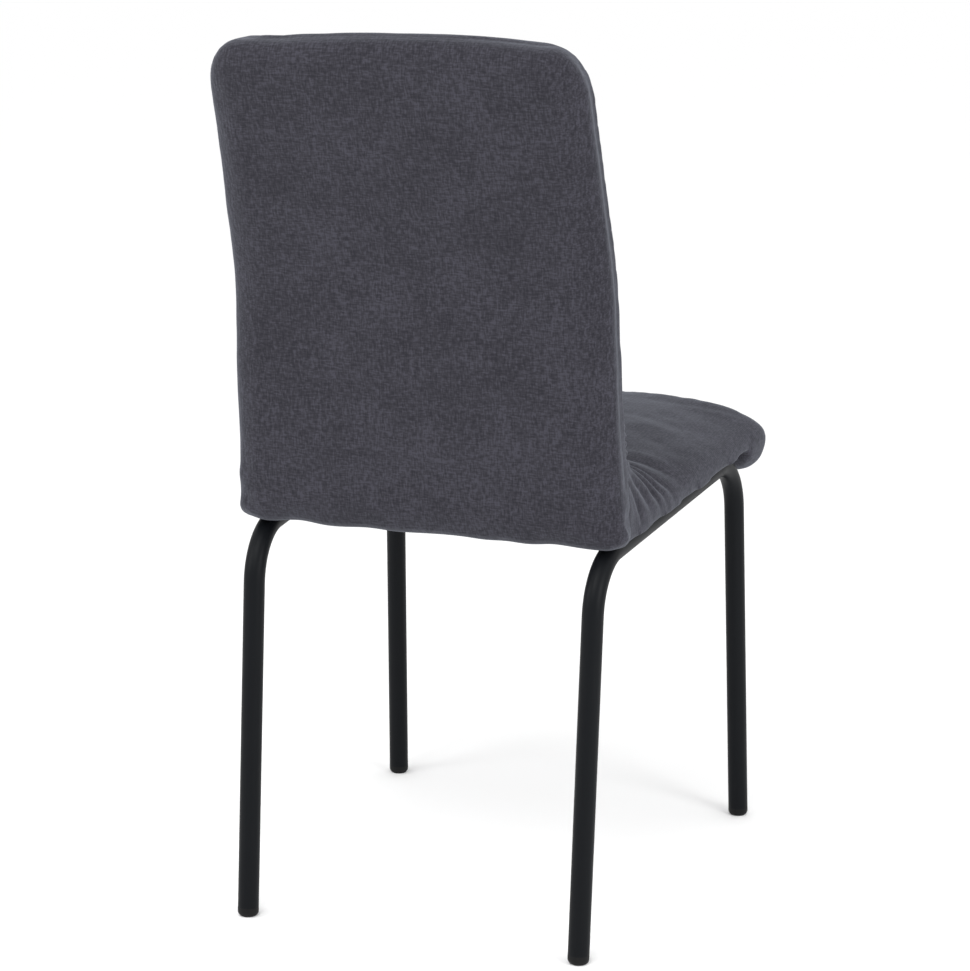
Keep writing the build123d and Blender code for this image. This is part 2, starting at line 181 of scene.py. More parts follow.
def seatCoordinates(places):  # across, rearward and up, one array each
    local = places - np.array(seatOrigin)
    return local[:, 0], local @ np.array(seatRearward), local @ np.array(seatUp)


def seatHalfWidth(rearward):
    return seatPad["halfWidth"] + (seatPad["halfWidthPlace"] - rearward) * seatPad["widening"]


def seatCrest(rearward):
    droop = float(eased(seatPad["droopStart"], seatPad["nosePlace"], rearward))
    return seatPad["height"] - seatPad["noseDroop"] * droop


def seatRing(low, high, halfWidth, fullness, sag=0.0):  # over the crown, then back underneath
    squareness, softness = fullness
    steps = seatPad["acrossSteps"]
    ring = []
    for i in range(steps + 1):
        cosine = math.cos(math.pi * i / steps)
        share = math.copysign(abs(cosine) ** (2 / squareness), cosine)
        rise = max(0.0, 1 - abs(share) ** squareness) ** softness
        rearward, up = between(low[0], high[0], rise), between(low[1], high[1], rise)
        ring.append(seatPoint(share * halfWidth, rearward, up))
    squareness, softness = seatPad["fullness"]["under"]
    steps = seatPad["underSteps"]
    for i in range(1, steps):
        cosine = -math.cos(math.pi * i / steps)
        share = math.copysign(abs(cosine) ** (2 / squareness), cosine)
        fall = (1 - abs(share) ** squareness) ** softness
        ring.append(seatPoint(share * halfWidth, low[0], low[1] - sag * fall))
    return ring


def mixed(table, first, second, share):
    return tuple(between(a, b, share) for a, b in zip(table[first], table[second]))


def makeSeatPad():
    height, radius, nose = seatPad["height"], seatPad["noseRadius"], seatPad["nosePlace"]
    crook, rear, seamRear = seatPad["crookRadius"], seatPad["rear"], seatPad["seamRear"]
    fullness, corner = seatPad["fullness"], seatPad["noseCorner"]
    seamRings, crookRings = seatPad["seamRings"], seatPad["crookRings"]
    seatRings, rollRings = seatPad["seatRings"], seatPad["rollRings"]
    top, bottom = height - seatPad["noseDroop"], seatPad["noseBottom"]
    middle, half = (top + bottom) / 2, (top - bottom) / 2
    noseStart = nose + radius
    rings = []
    for k in range(crookRings):  # down the hollow, standing on the seam first and then on the underside
        angle = math.radians(seatPad["crookTurn"]) * (1 - k / crookRings)
        high = (rear - crook + crook * math.sin(angle), height + crook * (1 - math.cos(angle)))
        if k < seamRings:
            low = (seamRear, (height + seatPad["crookRise"]) * (1 - k / seamRings))
        else:
            low = (between(seamRear, rear - crook, (k - seamRings) / (crookRings - seamRings)), 0)
        atBack = backHalfWidth(seatPoint(0, *low).z) - seatPad["seamInside"]
        nearSeam = float(eased(seatPad["seamEaseStart"], seamRear, low[0]))
        width = between(seatHalfWidth(low[0]), atBack, nearSeam)
        full = mixed(fullness, "seam", "seat", (k / crookRings) ** seatPad["crookBlend"])
        rings.append(seatRing(low, high, width, full))
    for k in range(seatRings):
        rearward = between(rear - crook, noseStart, k / seatRings)
        low, high = (rearward, middle * k / seatRings), (rearward, seatCrest(rearward))
        full = mixed(fullness, "seat", "nose", min(1, k / seatPad["noseBlendRings"]))
        rings.append(seatRing(low, high, seatHalfWidth(rearward), full))
    for k in range(rollRings + 1):  # the rolled front edge
        angle = math.pi * k / rollRings
        rearward = nose + radius * math.cos(angle)
        crest = seatCrest(rearward)
        if k > rollRings / 2:
            crest = middle + half * math.sin(angle)
        into = min(corner, max(0.0, nose - radius + corner - rearward))
        lost = corner - math.sqrt(corner**2 - into**2)
        low, high, sag = (rearward, middle), (rearward, crest), half * math.sin(angle)
        rings.append(seatRing(low, high, seatHalfWidth(rearward) - lost, fullness["nose"], sag))
    return loftRings("seat_pad", rings)


backPads = {
    "bottom": 411 * mm,
    "top": 915 * mm,
    "rearAtBottom": 210.3 * mm,
    "lowerTilt": 5.5,  # degrees
    "upperTilt": 15.5,
    "bendHeight": 655 * mm,
    "bendRadius": 300 * mm,
    "halfWidthBottom": 204 * mm,
    "halfWidthTop": 188 * mm,
    "seamDepth": 50 * mm,  # from the rear face forward
    "frontDepth": 64 * mm,
    "cornerRadius": 36 * mm,
    "cornerHeight": 51 * mm,
    "endRadius": 24 * mm,
    "rearEndShare": 0.45,  # most of a pad's depth that its rounded ends may take
    "frontEndShare": 0.3,
    "edgeRadius": 32 * mm,
    "edgeSpread": 1.7,  # the rear edge is rounded wider across than it is deep
    "rearFlare": 6 * mm,
    "seamRadius": 3 * mm,
    "hemLift": 2 * mm,
    "coverOutside": 1 * mm,
    "padStart": 78 * mm,
    "padBelowTop": 2 * mm,
    "padOverlap": 8 * mm,
    "padEdgeRadius": 9 * mm,
    "padInside": 1.5 * mm,
    "heightSteps": 60,
    "cornerSteps": 8,
    "voxel": 5 * mm,
    "swell": 2.5 * mm,
    "coverHeldDepth": (34 * mm, 47 * mm),
    "coverHeldHeight": (415 * mm, 430 * mm),
    "padHeldDepth": (48 * mm, 58 * mm),
}


def backRearY(height):  # the rear face's line: leaning, then bending further back
    low, high = math.radians(backPads["lowerTilt"]), math.radians(backPads["upperTilt"])
    radius, climb = backPads["bendRadius"], height - backPads["bendHeight"]
    start = backPads["rearAtBottom"] + (backPads["bendHeight"] - backPads["bottom"]) * math.tan(low)
    rise = radius * (math.sin(high) - math.sin(low))
    if climb <= 0:
        return start + climb * math.tan(low)
    if climb <= rise:
        return start + radius * (math.cos(low) - math.sqrt(1 - (climb / radius + math.sin(low)) ** 2))
    return start + radius * (math.cos(low) - math.cos(high)) + (climb - rise) * math.tan(high)


def depthInBack(places):  # how far forward of the rear face each point lies
    return np.array([backRearY(height) for height in places[:, 2]]) - places[:, 1]


def backHalfWidth(height):
    share = (height - backPads["bottom"]) / (backPads["top"] - backPads["bottom"])
    return between(backPads["halfWidthBottom"], backPads["halfWidthTop"], share)


def drawnIn(radius, fromEnd):  # what a rounded end has lost at a distance from its tip
    short = min(radius, max(0.0, radius - fromEnd))
    return radius - math.sqrt(radius**2 - short**2)


def roundedRing(height, halfWidth, front, rear, frontRadius, rearRadius, flare):
    # a level outline with round corners, wider by the flare at its rear
    ring = []
    corners = (
        (1, 1, rearRadius, 0),
        (-1, 1, rearRadius, 90),
        (-1, -1, frontRadius, 180),
        (1, -1, frontRadius, 270),
    )
    for side, end, radius, start in corners:
        radius = min(radius, 0.48 * (rear - front), 0.9 * halfWidth)  # two corners never meet
        spread = backPads["edgeSpread"] if end > 0 and rearRadius > frontRadius else 1
        across = halfWidth - radius * spread + (flare if end > 0 else 0)
        middle = Vector((side * across, (rear if end > 0 else front) - end * radius, height))
        for k in range(backPads["cornerSteps"] + 1):
            angle = math.radians(start + 90 * k / backPads["cornerSteps"])
            ring.append(middle + Vector((math.cos(angle) * spread, math.sin(angle), 0)) * radius)
    return ring


def backRings(bottom, top, frontDepth, rearDepth, frontRadius, rearRadius, narrowing, flare):
    cornerShare = backPads["cornerRadius"] / backPads["cornerHeight"]
    rearEnd = min(backPads["endRadius"], backPads["rearEndShare"] * (frontDepth - rearDepth))
    frontEnd = min(backPads["endRadius"], backPads["frontEndShare"] * (frontDepth - rearDepth))
    steps = backPads["heightSteps"]
    rings = []
    for k in range(steps + 1):
        height = between(bottom, top, 0.5 - 0.5 * math.cos(math.pi * k / steps))
        fromTop, fromBottom = top - height, height - bottom
        sideLoss = drawnIn(backPads["cornerRadius"], fromTop * cornerShare)
        sideLoss += drawnIn(backPads["endRadius"] / 2, fromBottom)
        rearLoss = drawnIn(rearEnd, min(fromTop, fromBottom))
        frontLoss = drawnIn(frontEnd, fromTop)
        rear = backRearY(height) - rearDepth - (rearLoss if rearRadius > frontRadius else 0)
        front = backRearY(height) - frontDepth + (frontLoss if frontRadius > rearRadius else 0)
        width = backHalfWidth(height) - narrowing - sideLoss
        rings.append(roundedRing(height, width, front, rear, frontRadius, rearRadius, flare))
    return rings


def makeRearCover():
    bottom, top = backPads["bottom"] + backPads["hemLift"], backPads["top"]
    seam, edge = backPads["seamRadius"], backPads["edgeRadius"]
    wider, flare = backPads["coverOutside"], backPads["rearFlare"]
    rings = backRings(bottom, top, backPads["seamDepth"], 0, seam, edge, -wider, flare)
    return loftRings("rear_cover", rings)


def makeBackPad():
    bottom, top = backPads["bottom"] + backPads["padStart"], backPads["top"] - backPads["padBelowTop"]
    front, rear = backPads["frontDepth"], backPads["seamDepth"] - backPads["padOverlap"]
    edge, seam, narrower = backPads["padEdgeRadius"], backPads["seamRadius"], backPads["padInside"]
    return loftRings("back_pad", backRings(bottom, top, front, rear, edge, seam, narrower, 0))


def remesh(piece, voxel):
    modifier = piece.modifiers.new("Remesh", "REMESH")
    modifier.mode = "VOXEL"
    modifier.voxel_size = voxel
    applyModifiers(piece)


clothRun = {"quality": 4, "mass": 0.3, "pressure": 4, "frames": 20, "leastHeld": 0.01}


def swellPad(piece, held, cap):  # a short cloth run: the cover blown up a little over its filling
    group = piece.vertex_groups.new(name="held")
    for i in np.nonzero(held > clothRun["leastHeld"])[0]:
        group.add([int(i)], float(held[i]), "REPLACE")
    cloth = piece.modifiers.new("Cloth", "CLOTH")
    cloth.settings.quality = clothRun["quality"]
    cloth.settings.mass = clothRun["mass"]
    cloth.settings.use_pressure = True
    cloth.settings.uniform_pressure_force = clothRun["pressure"]
    cloth.settings.vertex_group_mass = "held"
    cloth.settings.effector_weights.gravity = 0
    cloth.collision_settings.use_collision = False
    start = vertexPlaces(piece.data)
    for step in range(1, clothRun["frames"] + 1):
        bpy.context.scene.frame_set(step)
    graph = bpy.context.evaluated_depsgraph_get()
    solved = vertexPlaces(piece.evaluated_get(graph).data)
    piece.modifiers.clear()
    bpy.context.scene.frame_set(1)
    moved = solved - start
    length = np.linalg.norm(moved, axis=1, keepdims=True)
    movePlaces(piece, start + moved * (cap * np.tanh(length / cap) / np.maximum(length, 1e-9)))
    piece.vertex_groups.clear()


def relax(piece, rounds):
    modifier = piece.modifiers.new("Smooth", "SMOOTH")
    modifier.factor = 0.5
    modifier.iterations = rounds
    applyModifiers(piece)


def subdivide(piece):
    modifier = piece.modifiers.new("Subdivision", "SUBSURF")
    modifier.levels = 1
    modifier.render_levels = 1
    applyModifiers(piece)


# folds that fan from the rear seam: each follows one of a nest of quarter ellipses round the hem's rear end

gathers = {
    "reachAlong": (12 * mm, 32 * mm, 54 * mm, 78 * mm, 102 * mm, 128 * mm, 157 * mm, 192 * mm),
    "reachUp": (40 * mm, 60 * mm, 73 * mm, 84 * mm, 94 * mm, 103 * mm, 112 * mm, 122 * mm),
    "strength": (0.2, 0.7, 0.7, 1.0, 1.0, 1.0, 0.9, 0.3),
    "depth": 4.3 * mm,
    "behindRear": 4 * mm,
    "wander": 0.18,
    "wanderLength": 17 * mm,
    "wanderRight": 0.4,
    "wanderLeft": 2.1,
    "sharpness": 0.6,
    "middleLevel": 0.72,  # ridges rise above it, furrows sink below
    "firstFades": (0.0, 0.6),
    "lastFades": (1.4, 1.05),
    "atHem": (0.1, 0.05, 0.45),  # least share, and the sines between which it grows to 1
    "atSeam": (0.15, 16 * mm),
    "inwards": (0.45, 0.75),
    "halvings": 22,
}


def gatherFolds(across, rearward, up, seed):  # how far the folds lift the cover
    along = np.maximum(0, seatPad["rear"] + gathers["behindRear"] - rearward)
    upward = np.maximum(0, up)
    count = len(gathers["reachAlong"])
    low, high = np.zeros(len(along)), np.full(len(along), count - 1.0)
    for _ in range(gathers["halvings"]):  # closes in on the ellipse that a point lies on
        middle = (low + high) / 2
        a = np.interp(middle, range(count), gathers["reachAlong"])
        b = np.interp(middle, range(count), gathers["reachUp"])
        outside = (along / a) ** 2 + (upward / b) ** 2 > 1
        low, high = np.where(outside, middle, low), np.where(outside, high, middle)
    fold = low
    sine = upward / np.interp(fold, range(count), gathers["reachUp"])
    wander = gathers["wander"] * np.sin(along / gathers["wanderLength"] + seed)
    ridge = (0.5 - 0.5 * np.cos(2 * math.pi * (fold + wander))) ** gathers["sharpness"]
    strength = np.interp(fold, range(count), gathers["strength"])
    lastStart, lastEnd = gathers["lastFades"]
    strength *= eased(*gathers["firstFades"], fold) * (1 - eased(count - lastStart, count - lastEnd, fold))
    least, sineStart, sineEnd = gathers["atHem"]
    strength *= least + (1 - least) * eased(sineStart, sineEnd, sine)
    least, run = gathers["atSeam"]
    strength *= least + (1 - least) * eased(0, run, seatPad["seamRear"] - rearward)
    strength *= eased(*gathers["inwards"], np.abs(across) / seatHalfWidth(rearward))
    return gathers["depth"] * strength * (ridge - gathers["middleLevel"])


seatSurface = {
    "top": (8 * mm, 30 * mm),
    "lumpHeight": 1.3 * mm,
    "lumpLength": 55 * mm,
    "fineLumpHeight": 0.4 * mm,
    "fineLumpLength": 24 * mm,
    "nose": (-235 * mm, -265 * mm),
    "noseWrinkle": 0.9 * mm,
    "noseWrinkleWidth": 4.5 * mm,
    "noseWander": (3, 50 * mm),
    "nosePatch": 35 * mm,
    "railRadius": 11 * mm,
    "railAcross": (183.5 * mm, 203.5 * mm),  # centre line, at the rear and at the front
    "railLength": 422 * mm,
    "hemOutside": (-3 * mm, 1.5 * mm),  # from the rail's outer side
    "hemUp": (2 * mm, 12 * mm),
    "hemForward": (-235 * mm, -215 * mm),
    "hemDrop": 4 * mm,
    "hemUneven": 0.15,
    "hemPatch": 60 * mm,
    "openingAcross": 170 * mm,  # the underside's middle lies clear of the lining and the bars
    "openingRearward": (-200 * mm, 120 * mm),
    "openingUp": 7 * mm,
    "openingDepth": 6 * mm,
}


def shapeSeatPad(piece):
    form = seatSurface
    places, normals = vertexPlaces(piece.data), vertexNormals(piece.data)
    across, rearward, up = seatCoordinates(places)
    right = gatherFolds(across, rearward, up, gathers["wanderRight"])
    left = gatherFolds(across, rearward, up, gathers["wanderLeft"])
    lift = np.where(across < 0, right, left)
    top = eased(*form["top"], up)
    lift += form["lumpHeight"] * lumps(places, form["lumpLength"], 1) * top
    lift += form["fineLumpHeight"] * lumps(places, form["fineLumpLength"], 2) * top
    nose = eased(*form["nose"], rearward) * top
    turns, patch = form["noseWander"]
    wrinkle = np.sin(across / form["noseWrinkleWidth"] + turns * lumps(places, patch, 3))
    lift += form["noseWrinkle"] * nose * wrinkle * lumps(places, form["nosePatch"], 4)
    places = places + normals * lift[:, None]
    along = (seatPad["halfWidthPlace"] - rearward) / form["railLength"]
    rail = form["railRadius"] + between(*form["railAcross"], along)
    hem = eased(*form["hemOutside"], np.abs(across) - rail) * (1 - eased(*form["hemUp"], up))
    hem *= eased(*form["hemForward"], rearward)
    hang = -form["hemDrop"] * (1 + form["hemUneven"] * lumps(places, form["hemPatch"], 5)) * hem
    front, rear = form["openingRearward"]
    inside = (np.abs(across) < form["openingAcross"]) & (rearward < rear) & (rearward > front)
    hang += np.where(inside & (up < form["openingUp"]), form["openingDepth"], 0)
    movePlaces(piece, places + np.array(seatUp) * hang[:, None])


topEdge = {
    "from": (780 * mm, 905 * mm),
    "crown": 3 * mm,
    "crownShift": 20 * mm,
    "crownReach": 135 * mm,
    "fall": 2.1,
    "mostFallRight": 2.6,
    "mostFallLeft": 2.1,
    "leanFrom": (740 * mm, 850 * mm),
    "lean": 4 * mm,
}


def crowned(places):  # the top edge stands a little higher in the middle, and its filling leans back
    x, z = places[:, 0], places[:, 2]
    near = eased(*topEdge["from"], z)
    most = np.where(x < 0, topEdge["mostFallRight"], topEdge["mostFallLeft"])
    fall = np.minimum(topEdge["fall"] * ((x + topEdge["crownShift"]) / topEdge["crownReach"]) ** 2, most)
    places[:, 2] += near * topEdge["crown"] * (1 - fall)
    places[:, 1] += topEdge["lean"] * eased(*topEdge["leanFrom"], z)
    return places


rearSurface = {
    "lumpHeight": 0.9 * mm,
    "lumpLength": 90 * mm,
    "fineLumpHeight": 0.3 * mm,
    "fineLumpLength": 28 * mm,
    "side": (0.86, 0.97),
    "low": (430 * mm, 500 * mm),
    "puckerHeight": 1.0 * mm,
    "puckerLength": 5.5 * mm,
    "puckerPatch": 30 * mm,
    "ridgeHeight": 1.2 * mm,
    "ridgeDepth": 46 * mm,
    "ridgeWidth": 3 * mm,
    "hem": (418 * mm, 445 * mm),
    "hemWave": 1.6 * mm,
    "hemWaveLength": 13 * mm,
    "hemPatch": 80 * mm,
    "hemDrop": 1 * mm,
}


def shapeRearCover(piece):
    form = rearSurface
    places, normals = vertexPlaces(piece.data), vertexNormals(piece.data)
    x, z = places[:, 0], places[:, 2]
    lift = form["lumpHeight"] * lumps(places, form["lumpLength"], 6)
    lift += form["fineLumpHeight"] * lumps(places, form["fineLumpLength"], 7)
    low = 1 - eased(*form["low"], z)
    side = eased(*form["side"], np.abs(x) / np.array([backHalfWidth(height) for height in z]))
    pucker = np.sin(z / form["puckerLength"] + 2 * lumps(places, form["puckerPatch"], 8))
    lift += form["puckerHeight"] * low * side * pucker
    fromSeam = (depthInBack(places) - form["ridgeDepth"]) / form["ridgeWidth"]
    lift += form["ridgeHeight"] * np.exp(-(fromSeam**2)) * side  # the seam's rolled edge
    places = places + normals * lift[:, None]
    wave = form["hemWave"] * np.sin(x / form["hemWaveLength"]) * lumps(places, form["hemPatch"], 9)
    places[:, 2] += (1 - eased(*form["hem"], z)) * (wave - form["hemDrop"])
    movePlaces(piece, crowned(places))


padSurface = {
    "lumpHeight": 1.0 * mm,
    "lumpLength": 80 * mm,
    "fineLumpHeight": 0.4 * mm,
    "fineLumpLength": 30 * mm,
}


def shapeBackPad(piece):
    form = padSurface
    places, normals = vertexPlaces(piece.data), vertexNormals(piece.data)
    lift = form["lumpHeight"] * lumps(places, form["lumpLength"], 10)
    lift += form["fineLumpHeight"] * lumps(places, form["fineLumpLength"], 11)
    movePlaces(piece, crowned(places + normals * lift[:, None]))


view = {
    "place": (-1.03783, 2.7677, 1.11061),
    "azimuth": 200.767,
    "elevation": 12.78,
    "lens": 105.3,
    "sensorWidth": 36,
    "shiftY": -0.018,
}


def makeCamera():
    turn, climb = math.radians(view["azimuth"]), math.radians(view["elevation"])
    away = Vector((math.sin(turn) * math.cos(climb), -math.cos(turn) * math.cos(climb), math.sin(climb)))
    data = bpy.data.cameras.new("camera")
    data.lens = view["lens"]
    data.sensor_width = view["sensorWidth"]
    data.shift_y = view["shiftY"]
    camera = bpy.data.objects.new("camera", data)
    camera.location = view["place"]
    camera.rotation_mode = "QUATERNION"
    camera.rotation_quaternion = (-away).to_track_quat("-Z", "Y")
    bpy.context.scene.collection.objects.link(camera)
    bpy.context.scene.camera = camera


studio = {
    "floorColour": "#f8f8f8",
    "floorRoughness": 0.9,
    "floorHalfSize": 60,
    "horizonStrength": 0.8,
    "zenithStrength": 1.2,
    "aim": (0, 0, 0.5),
    "softboxes": {
        "overhead softbox": {"place": (0.0, 1.6, 2.2), "size": 1.2, "power": 22},
        "side softbox": {"place": (1.15, 0.95, 1.0), "size": 0.8, "power": 6},
        "rim softbox": {"place": (-1.8, 0.7, 1.0), "size": 0.8, "power": 14},
    },
}


def areaLight(name, place, size, power):
    data = bpy.data.lights.new(name, "AREA")
    data.shape = "DISK"
    data.size = size
    data.energy = power
    light = bpy.data.objects.new(name, data)
    light.location = place
    light.rotation_mode = "QUATERNION"
    light.rotation_quaternion = (Vector(studio["aim"]) - Vector(place)).to_track_quat("-Z", "Y")
    bpy.context.scene.collection.objects.link(light)


def addNode(tree, kind, inputs, **settings):  # one node, its settings, and its inputs as values or links
    node = tree.nodes.new(kind)
    for key, value in settings.items():
        setattr(node, key, value)
    for key, value in inputs.items():
        if isinstance(value, bpy.types.NodeSocket):
            tree.links.new(value, node.inputs[key])
        else:
            node.inputs[key].default_value = value
    return node


def newMaterial(name, values):  # values go straight on the shader's own sockets
    material = bpy.data.materials.new(name)
    material.use_nodes = True
    shader = material.node_tree.nodes["Principled BSDF"]
    for key, value in values.items():
        shader.inputs[key].default_value = value
    return material, material.node_tree, shader


def makeStage():
    size = studio["floorHalfSize"]
    corners = [(-size, -size, 0), (size, -size, 0), (size, size, 0), (-size, size, 0)]
    floor = meshObject("floor", corners, [(0, 1, 2, 3)])
    values = {"Base Color": toLinear(studio["floorColour"]), "Roughness": studio["floorRoughness"]}
    paper = newMaterial("white backdrop paper", values)[0]
    floor.data.materials.append(paper)
    world = bpy.data.worlds.new("studio")
    bpy.context.scene.world = world
    world.use_nodes = True
    tree = world.node_tree
    place = addNode(tree, "ShaderNodeTexCoord", {}).outputs["Generated"]
    climb = addNode(tree, "ShaderNodeSeparateXYZ", {"Vector": place}).outputs["Z"]
    low, high = studio["horizonStrength"], studio["zenithStrength"]
    glow = addNode(tree, "ShaderNodeMapRange", {"Value": climb, "To Min": low, "To Max": high})
    tree.links.new(glow.outputs["Result"], tree.nodes["Background"].inputs["Strength"])
    tree.nodes["Background"].inputs["Color"].default_value = (1, 1, 1, 1)
    for name, softbox in studio["softboxes"].items():
        areaLight(name, softbox["place"], softbox["size"], softbox["power"])
    bpy.context.scene.view_settings.view_transform = "Standard"
    print("stage ready")


upholstery = {
    "darkYarn": "#25242a",
    "yarn": "#2f2e34",
    "lightYarn": "#3b3a42",
    "yarnSpread": (0.40, 0.5, 0.60),
    "streakLength": 6.5,  # mm, as are the next three
    "streakWidth": 1.6,
    "cloudSize": 60,
    "threadPitch": 2.2,
    "cloudShare": 0.35,
    "threadShare": 0.35,
    "threadWander": 0.6,
    "roughness": 0.88,
    "specular": 0.12,
    "sheen": 0.28,
    "sheenColour": "#c4cbd8",
    "sheenRoughness": 0.42,
    "bump": 0.35,
    "bumpDepth": 0.5 * mm,
}


def wovenMelange():
    # woven polyester melange, brushed: soft dark grey, fine streaks along and across, pale at grazing edges
    values = {
        "Roughness": upholstery["roughness"],
        "Specular IOR Level": upholstery["specular"],
        "Sheen Weight": upholstery["sheen"],
        "Sheen Roughness": upholstery["sheenRoughness"],
        "Sheen Tint": toLinear(upholstery["sheenColour"]),
    }
    material, tree, shader = newMaterial("brushed melange weave", values)
    place = addNode(tree, "ShaderNodeTexCoord", {}).outputs["Object"]
    fine, long = 1000 / upholstery["streakWidth"], 1000 / upholstery["streakLength"]
    streaks = []
    for scale in ((fine, long, long), (long, fine, fine)):
        mapped = addNode(tree, "ShaderNodeMapping", {"Vector": place, "Scale": scale}).outputs["Vector"]
        streak = addNode(tree, "ShaderNodeTexNoise", {"Vector": mapped, "Scale": 1.0, "Detail": 2.0})
        streaks.append(streak.outputs["Fac"])
    size, share = upholstery["cloudSize"], upholstery["cloudShare"]
    cloud = addNode(tree, "ShaderNodeTexNoise", {"Vector": place, "Scale": 1000 / size, "Detail": 2.0})
    both = addNode(tree, "ShaderNodeMath", {0: streaks[0], 1: streaks[1]}, operation="ADD").outputs[0]
    step = {0: cloud.outputs["Fac"], 1: share, 2: both}
    shade = addNode(tree, "ShaderNodeMath", step, operation="MULTIPLY_ADD").outputs[0]
    level = addNode(tree, "ShaderNodeMath", {0: shade, 1: 2 + share}, operation="DIVIDE").outputs[0]
    ramp = addNode(tree, "ShaderNodeValToRGB", {"Fac": level})
    darkPlace, middlePlace, lightPlace = upholstery["yarnSpread"]
    ramp.color_ramp.elements[0].position = darkPlace
    ramp.color_ramp.elements[0].color = toLinear(upholstery["darkYarn"])
    ramp.color_ramp.elements[1].position = lightPlace
    ramp.color_ramp.elements[1].color = toLinear(upholstery["lightYarn"])
    ramp.color_ramp.elements.new(middlePlace).color = toLinear(upholstery["yarn"])
    tree.links.new(ramp.outputs["Color"], shader.inputs["Base Color"])
    weave = both
    # threads are near 1 mm apart, drawn coarser so that they show; a wave of scale 1 repeats in pi / 10
    for direction in "XYZ":
        wave = {
            "Vector": place,
            "Scale": 1000 / upholstery["threadPitch"] / 20 * math.pi,
            "Distortion": upholstery["threadWander"],
            "Detail": 1.0,
        }
        threads = addNode(tree, "ShaderNodeTexWave", wave, bands_direction=direction)
        step = {0: threads.outputs["Fac"], 1: upholstery["threadShare"], 2: weave}
        weave = addNode(tree, "ShaderNodeMath", step, operation="MULTIPLY_ADD").outputs[0]
    relief = {"Height": weave, "Strength": upholstery["bump"], "Distance": upholstery["bumpDepth"]}
    tree.links.new(addNode(tree, "ShaderNodeBump", relief).outputs["Normal"], shader.inputs["Normal"])
    return material


frameCoat = {
    "colour": "#0d0f12",
    "roughness": 0.45,
    "roughnessSpread": 0.05,
    "specular": 0.1,
    "grain": 0.7,  # mm
    "haze": 30,  # mm
    "bump": 0.12,
}


def powderCoat():
    # black satin powder coat, baked: faint orange peel, soft long highlights
    values = {"Base Color": toLinear(frameCoat["colour"]), "Specular IOR Level": frameCoat["specular"]}
    material, tree, shader = newMaterial("satin black powder coat", values)
    place = addNode(tree, "ShaderNodeTexCoord", {}).outputs["Object"]
    fine, broad = 1000 / frameCoat["grain"], 1000 / frameCoat["haze"]
    peel = addNode(tree, "ShaderNodeTexNoise", {"Vector": place, "Scale": fine, "Detail": 2.0})
    haze = addNode(tree, "ShaderNodeTexNoise", {"Vector": place, "Scale": broad, "Detail": 2.0})
    middle, spread = frameCoat["roughness"], frameCoat["roughnessSpread"]
    limits = {"Value": haze.outputs["Fac"], "To Min": middle - spread, "To Max": middle + spread}
    rough = addNode(tree, "ShaderNodeMapRange", limits)
    tree.links.new(rough.outputs["Result"], shader.inputs["Roughness"])
    relief = {"Height": peel.outputs["Fac"], "Strength": frameCoat["bump"], "Distance": 0.2 * mm}
    tree.links.new(addNode(tree, "ShaderNodeBump", relief).outputs["Normal"], shader.inputs["Normal"])
    return material


otherFinishes = {  # sizes in mm
    "nylonColour": "#0b0b0c",
    "nylonRoughness": 0.6,
    "nylonSpecular": 0.2,
    "nylonGrain": 0.9,
    "zincColour": "#b4b8bd",
    "zincRoughness": (0.25, 0.45),
    "zincSpangle": 2.2,
    "liningColours": ("#0c0c0e", "#26262a"),
    "liningRoughness": 0.9,
    "liningFibre": 1.5,
    "liningPitch": 2.5,
    "plyColours": ("#b98d5c", "#d3ab7a"),
    "pineColours": ("#c59a62", "#dfbd8a"),
    "plyStretch": (0.08, 1.0, 1.0),
    "pineStretch": (0.06, 1.0, 1.0),
    "woodRoughness": 0.7,
    "woodRing": 4.0,
    "woodContrast": (0.35, 0.65),
}


def mouldedNylon():
    # injection-moulded nylon, spark-eroded tool: black, matt, finely pebbled
    values = {
        "Base Color": toLinear(otherFinishes["nylonColour"]),
        "Roughness": otherFinishes["nylonRoughness"],
        "Specular IOR Level": otherFinishes["nylonSpecular"],
    }
    material, tree, shader = newMaterial("moulded black nylon", values)
    place = addNode(tree, "ShaderNodeTexCoord", {}).outputs["Object"]
    scale = 1000 / otherFinishes["nylonGrain"]
    pebble = addNode(tree, "ShaderNodeTexVoronoi", {"Vector": place, "Scale": scale}).outputs["Distance"]
    bump = addNode(tree, "ShaderNodeBump", {"Height": pebble, "Strength": 0.3, "Distance": 0.1 * mm})
    tree.links.new(bump.outputs["Normal"], shader.inputs["Normal"])
    return material


def zincPlate():
    # bright zinc electroplate on pressed steel: cool silver with a faint mottled haze
    values = {"Base Color": toLinear(otherFinishes["zincColour"]), "Metallic": 1.0}
    material, tree, shader = newMaterial("zinc plated steel", values)
    place = addNode(tree, "ShaderNodeTexCoord", {}).outputs["Object"]
    scale = 1000 / otherFinishes["zincSpangle"]
    haze = addNode(tree, "ShaderNodeTexNoise", {"Vector": place, "Scale": scale, "Detail": 3.0})
    low, high = otherFinishes["zincRoughness"]
    rough = addNode(tree, "ShaderNodeMapRange", {"Value": haze.outputs["Fac"], "To Min": low, "To Max": high})
    tree.links.new(rough.outputs["Result"], shader.inputs["Roughness"])
    return material


